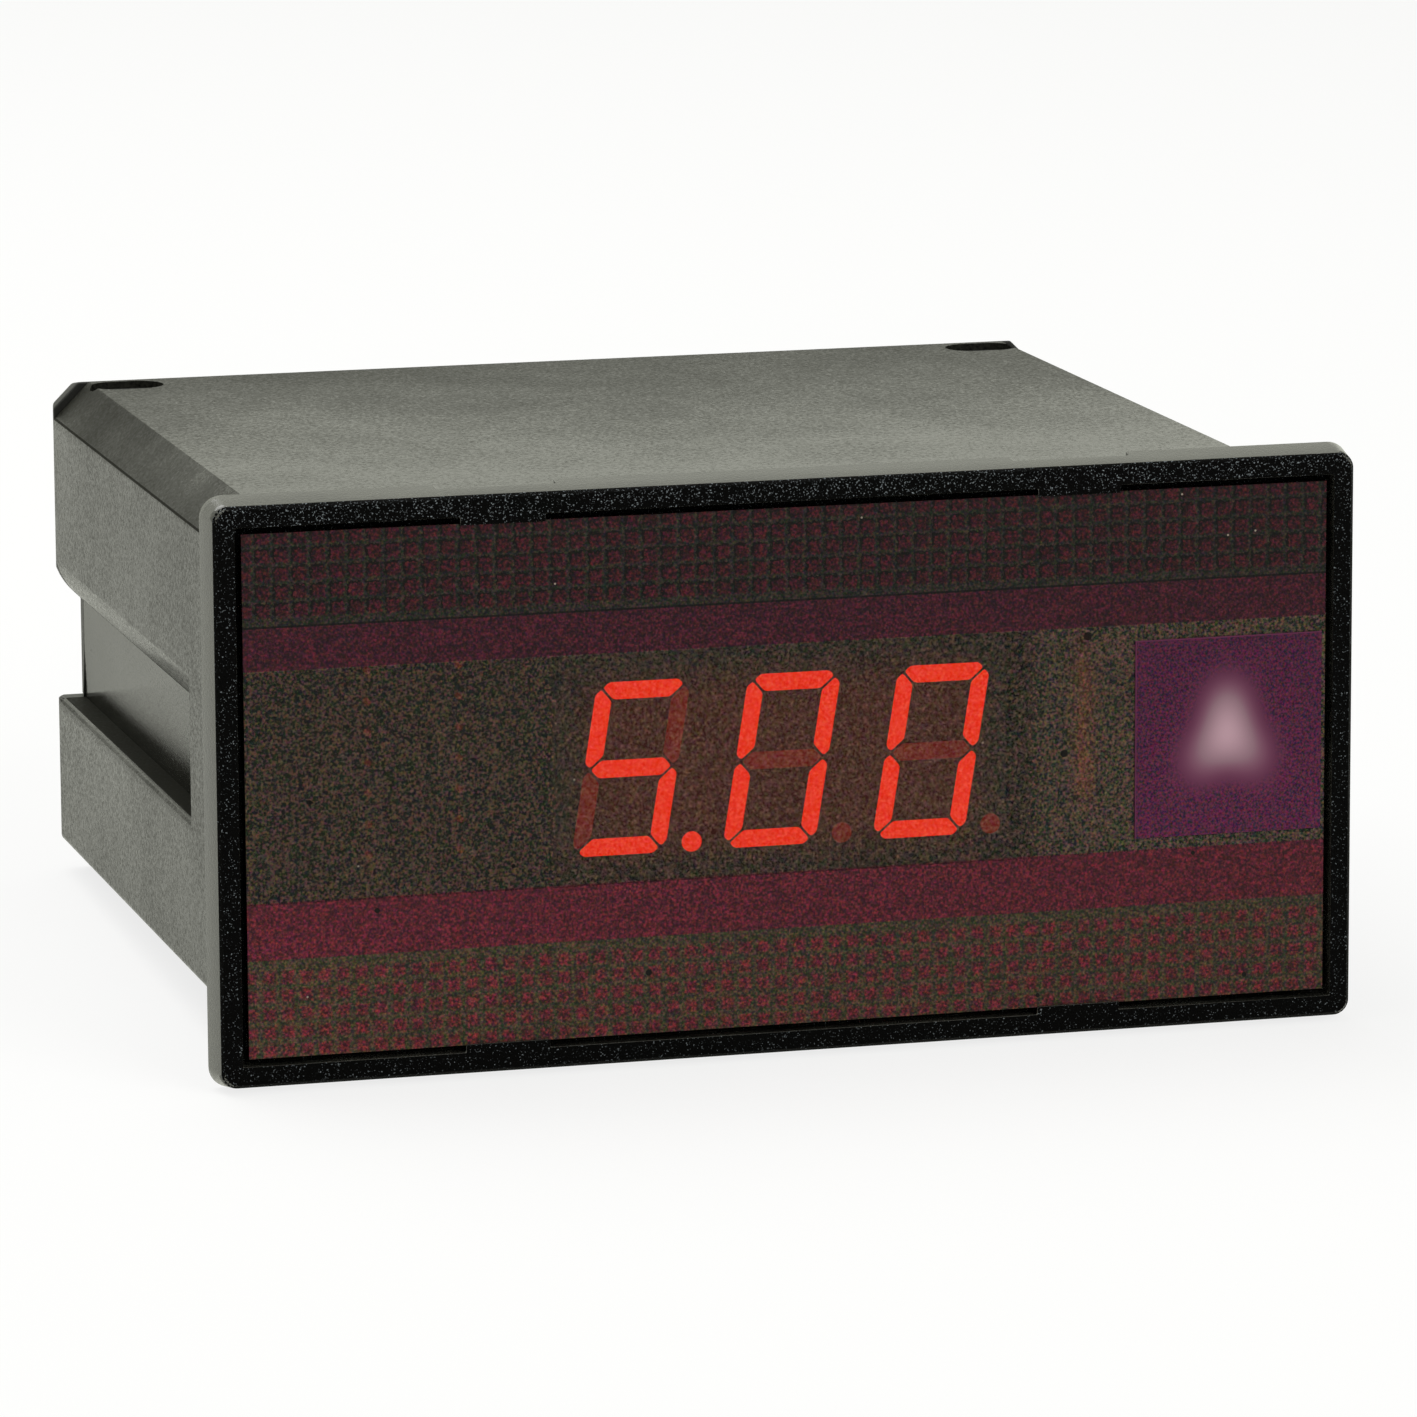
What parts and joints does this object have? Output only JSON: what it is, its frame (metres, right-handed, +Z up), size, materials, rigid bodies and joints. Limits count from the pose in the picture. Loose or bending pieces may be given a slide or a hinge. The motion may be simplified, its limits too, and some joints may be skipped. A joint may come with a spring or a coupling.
{
  "type": "digital panel ammeter",
  "caption": "Flush-mounting digital panel ammeter: chamfered black case with side clamp channels, framed tinted window with red LED digits and a lit unit label, screw terminals behind.",
  "frame": {"origin": "middle of the bezel's rear face, where the meter seats on the panel", "axes": "+X to the right of the display, +Y to the rear through the panel, +Z up"},
  "size_m": [0.096, 0.0922, 0.048],
  "materials": {
    "bezel_plastic": "black ABS moulding with a fine spark-eroded grain",
    "case_plastic": "black ABS moulding, satin",
    "cover_plastic": "black ABS moulding, satin",
    "strip_plastic": "black phenolic moulding",
    "window_acrylic": "smoked acrylic sheet",
    "film_print": "printed polyester film, dark olive with maroon stripes and squares",
    "label_print": "purple printed film with a glowing unit letter",
    "terminal_brass": "plain brass strip",
    "plated_steel": "zinc-plated steel",
    "board_laminate": "glass-fibre laminate with green solder mask",
    "header_plastic": "black header moulding with tinned pins",
    "digit_plastic": "dark grey digit housing",
    "tinned_pins": "tinned copper-clad wire",
    "segment_alight": "orange-red epoxy bars, alight",
    "segment_dark": "orange-red epoxy bars, not alight",
    "chip_plastic": "black moulding compound",
    "light_box_plastic": "pale grey moulding",
    "lamp_epoxy": "clear epoxy lamps, alight",
    "core_steel": "stacked silicon-steel laminations",
    "coil_copper": "enamelled copper wire on a bobbin",
    "can_sleeve": "shrink sleeve on an aluminium can",
    "film_capacitor_resin": "dipped resin",
    "resistor_lacquer": "lacquered ceramic body",
    "shunt_alloy": "manganin strap",
    "trimmer_plastic": "blue trimmer housing",
    "rotor_plastic": "white trimmer rotor"
  },
  "bodies": {
    "meter": {"front_bezel": "bezel_plastic", "filter_window": "window_acrylic", "front_film": "film_print", "unit_label": "label_print", "case": "case_plastic", "rear_cover": "cover_plastic", "terminal_strip": "strip_plastic", "strip_screws": "plated_steel", "terminal_plates": "terminal_brass", "main_board": "board_laminate", "display_board": "board_laminate", "board_header": "header_plastic", "digit_body_1": "digit_plastic", "digit_body_2": "digit_plastic", "digit_body_3": "digit_plastic", "digit_pins": "tinned_pins", "segments_lit": "segment_alight", "segments_unlit": "segment_dark", "driver_chip": "chip_plastic", "unit_light_box": "light_box_plastic", "unit_lamps": "lamp_epoxy", "converter_chip": "chip_plastic", "transformer_core": "core_steel", "transformer_coil": "coil_copper", "filter_capacitors": "can_sleeve", "film_capacitors": "film_capacitor_resin", "rectifier": "chip_plastic", "regulator": "chip_plastic", "resistors": "resistor_lacquer", "input_shunt": "shunt_alloy", "span_trimmer_body": "trimmer_plastic"},
    "saddle_1": {"terminal_saddle_1": "plated_steel"},
    "screw_1": {"terminal_screw_1": "plated_steel"},
    "saddle_2": {"terminal_saddle_2": "plated_steel"},
    "screw_2": {"terminal_screw_2": "plated_steel"},
    "saddle_3": {"terminal_saddle_3": "plated_steel"},
    "screw_3": {"terminal_screw_3": "plated_steel"},
    "saddle_4": {"terminal_saddle_4": "plated_steel"},
    "screw_4": {"terminal_screw_4": "plated_steel"},
    "saddle_5": {"terminal_saddle_5": "plated_steel"},
    "screw_5": {"terminal_screw_5": "plated_steel"},
    "saddle_6": {"terminal_saddle_6": "plated_steel"},
    "screw_6": {"terminal_screw_6": "plated_steel"},
    "trimmer_rotor": {"span_trimmer_rotor": "rotor_plastic"}
  },
  "joints": [
    {"name": "saddle_1_lift", "type": "slide", "parent": "meter", "child": "saddle_1", "axis": [0, 1, 0], "range_m": [0, 0.003]},
    {"name": "screw_1_turn", "type": "hinge", "parent": "saddle_1", "child": "screw_1", "pos_m": [-0.02375, 0.0832, -0.003], "axis": [0, 1, 0], "continuous": true},
    {"name": "saddle_2_lift", "type": "slide", "parent": "meter", "child": "saddle_2", "axis": [0, 1, 0], "range_m": [0, 0.003]},
    {"name": "screw_2_turn", "type": "hinge", "parent": "saddle_2", "child": "screw_2", "pos_m": [-0.01425, 0.0832, -0.003], "axis": [0, 1, 0], "continuous": true},
    {"name": "saddle_3_lift", "type": "slide", "parent": "meter", "child": "saddle_3", "axis": [0, 1, 0], "range_m": [0, 0.003]},
    {"name": "screw_3_turn", "type": "hinge", "parent": "saddle_3", "child": "screw_3", "pos_m": [-0.00475, 0.0832, -0.003], "axis": [0, 1, 0], "continuous": true},
    {"name": "saddle_4_lift", "type": "slide", "parent": "meter", "child": "saddle_4", "axis": [0, 1, 0], "range_m": [0, 0.003]},
    {"name": "screw_4_turn", "type": "hinge", "parent": "saddle_4", "child": "screw_4", "pos_m": [0.00475, 0.0832, -0.003], "axis": [0, 1, 0], "continuous": true},
    {"name": "saddle_5_lift", "type": "slide", "parent": "meter", "child": "saddle_5", "axis": [0, 1, 0], "range_m": [0, 0.003]},
    {"name": "screw_5_turn", "type": "hinge", "parent": "saddle_5", "child": "screw_5", "pos_m": [0.01425, 0.0832, -0.003], "axis": [0, 1, 0], "continuous": true},
    {"name": "saddle_6_lift", "type": "slide", "parent": "meter", "child": "saddle_6", "axis": [0, 1, 0], "range_m": [0, 0.003]},
    {"name": "screw_6_turn", "type": "hinge", "parent": "saddle_6", "child": "screw_6", "pos_m": [0.02375, 0.0832, -0.003], "axis": [0, 1, 0], "continuous": true},
    {"name": "span_trimmer_turn", "type": "hinge", "parent": "meter", "child": "trimmer_rotor", "pos_m": [0.033, 0.0307, -0.0069], "axis": [0, 0, 1], "range_deg": [-135, 135]}
  ],
  "couplings": [
    {"joint": "screw_1_turn", "follows": "saddle_1_lift", "rad_per_m": 10472},
    {"joint": "screw_2_turn", "follows": "saddle_2_lift", "rad_per_m": 10472},
    {"joint": "screw_3_turn", "follows": "saddle_3_lift", "rad_per_m": 10472},
    {"joint": "screw_4_turn", "follows": "saddle_4_lift", "rad_per_m": 10472},
    {"joint": "screw_5_turn", "follows": "saddle_5_lift", "rad_per_m": 10472},
    {"joint": "screw_6_turn", "follows": "saddle_6_lift", "rad_per_m": 10472}
  ]
}
